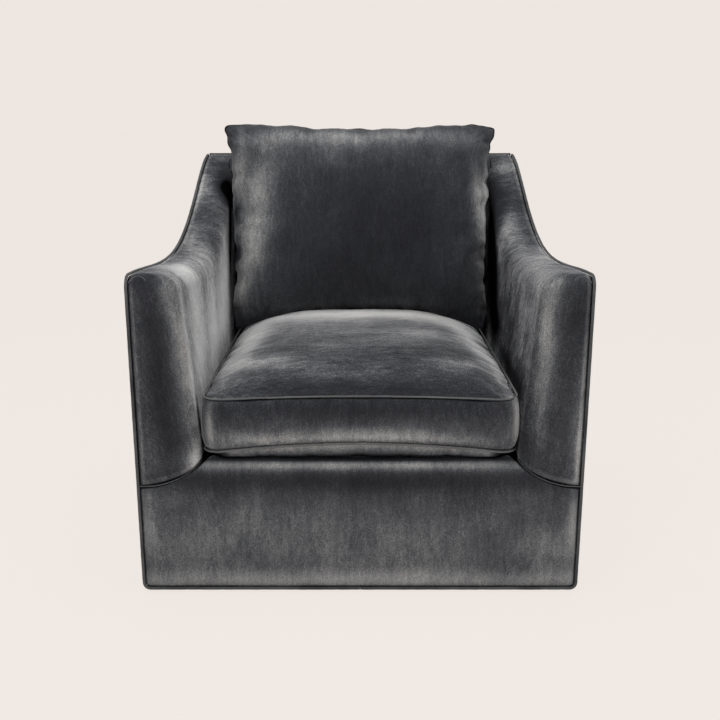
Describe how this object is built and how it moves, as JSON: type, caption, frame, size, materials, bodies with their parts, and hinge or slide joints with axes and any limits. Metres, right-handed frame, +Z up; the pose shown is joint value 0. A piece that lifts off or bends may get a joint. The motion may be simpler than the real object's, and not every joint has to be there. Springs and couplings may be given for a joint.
{
  "type": "upholstered armchair",
  "caption": "Low upholstered armchair with arms that sweep up into a wing, boxed seat cushion, loose back cushion and a skirted base down to the floor",
  "frame": {"origin": "on the floor under the middle of the chair's width and depth", "axes": "+Z up, +Y towards the back, +X to the right of a viewer who faces the chair"},
  "size_m": [0.9184, 0.9, 0.9009],
  "materials": {
    "velvet": "brushed charcoal velvet",
    "piping": "matching piping cord",
    "timber": "planed beech",
    "fibreboard": "raw hardboard",
    "foam": "cut foam with wadding",
    "feather": "feather filling in a cotton case",
    "cambric": "black dust cloth",
    "webbing": "woven elastic webbing",
    "spring_steel": "drawn wire",
    "nylon": "moulded nylon",
    "zinc": "plated zinc"
  },
  "bodies": {
    "frame": {"right_front_post": "timber", "left_front_post": "timber", "right_back_post": "timber", "left_back_post": "timber", "right_arm_board": "timber", "left_arm_board": "timber", "right_base_side_rail": "timber", "left_base_side_rail": "timber", "right_seat_side_rail": "timber", "left_seat_side_rail": "timber", "right_arm_lining": "fibreboard", "left_arm_lining": "fibreboard", "right_front_corner_block": "timber", "left_front_corner_block": "timber", "right_rear_corner_block": "timber", "left_rear_corner_block": "timber", "base_front_rail": "timber", "seat_front_rail": "timber", "seat_rear_rail": "timber", "base_rear_rail": "timber", "back_lumbar_rail": "timber", "back_top_rail": "timber", "seat_spring_1": "spring_steel", "seat_spring_2": "spring_steel", "seat_spring_3": "spring_steel", "seat_spring_4": "spring_steel", "seat_spring_5": "spring_steel", "back_webbing_1": "webbing", "back_webbing_2": "webbing", "right_front_glide": "nylon", "left_front_glide": "nylon", "right_rear_glide": "nylon", "left_rear_glide": "nylon", "right_arm_pad": "foam", "left_arm_pad": "foam", "front_pad": "foam", "deck_pad": "foam", "back_pad": "foam", "right_arm_cover": "velvet", "left_arm_cover": "velvet", "right_side_cover": "velvet", "left_side_cover": "velvet", "front_cover": "velvet", "deck_cover": "velvet", "inside_back_cover": "velvet", "rear_cover": "velvet", "dust_cover": "cambric", "right_side_piping": "piping", "left_side_piping": "piping", "back_piping": "piping"},
    "seat_cushion": {"seat_cushion_cover": "velvet", "seat_cushion_core": "foam", "seat_cushion_upper_piping": "piping", "seat_cushion_lower_piping": "piping", "seat_cushion_zip": "nylon"},
    "back_cushion": {"back_cushion_cover": "velvet", "back_cushion_core": "feather", "back_cushion_zip": "nylon"},
    "seat_zip_slider": {"seat_zip_slider": "zinc"},
    "back_zip_slider": {"back_zip_slider": "zinc"}
  },
  "joints": [
    {"name": "seat_cushion_slide", "type": "slide", "parent": "frame", "child": "seat_cushion", "axis": [0, -1, 0], "range_m": [0, 0.72]},
    {"name": "back_cushion_lift", "type": "slide", "parent": "frame", "child": "back_cushion", "axis": [0, 0.158, 0.9874], "range_m": [0, 0.4]},
    {"name": "seat_zip_run", "type": "slide", "parent": "seat_cushion", "child": "seat_zip_slider", "axis": [-1, 0, 0], "range_m": [0, 0.39]},
    {"name": "back_zip_run", "type": "slide", "parent": "back_cushion", "child": "back_zip_slider", "axis": [-1, 0, 0], "range_m": [0, 0.27]}
  ]
}
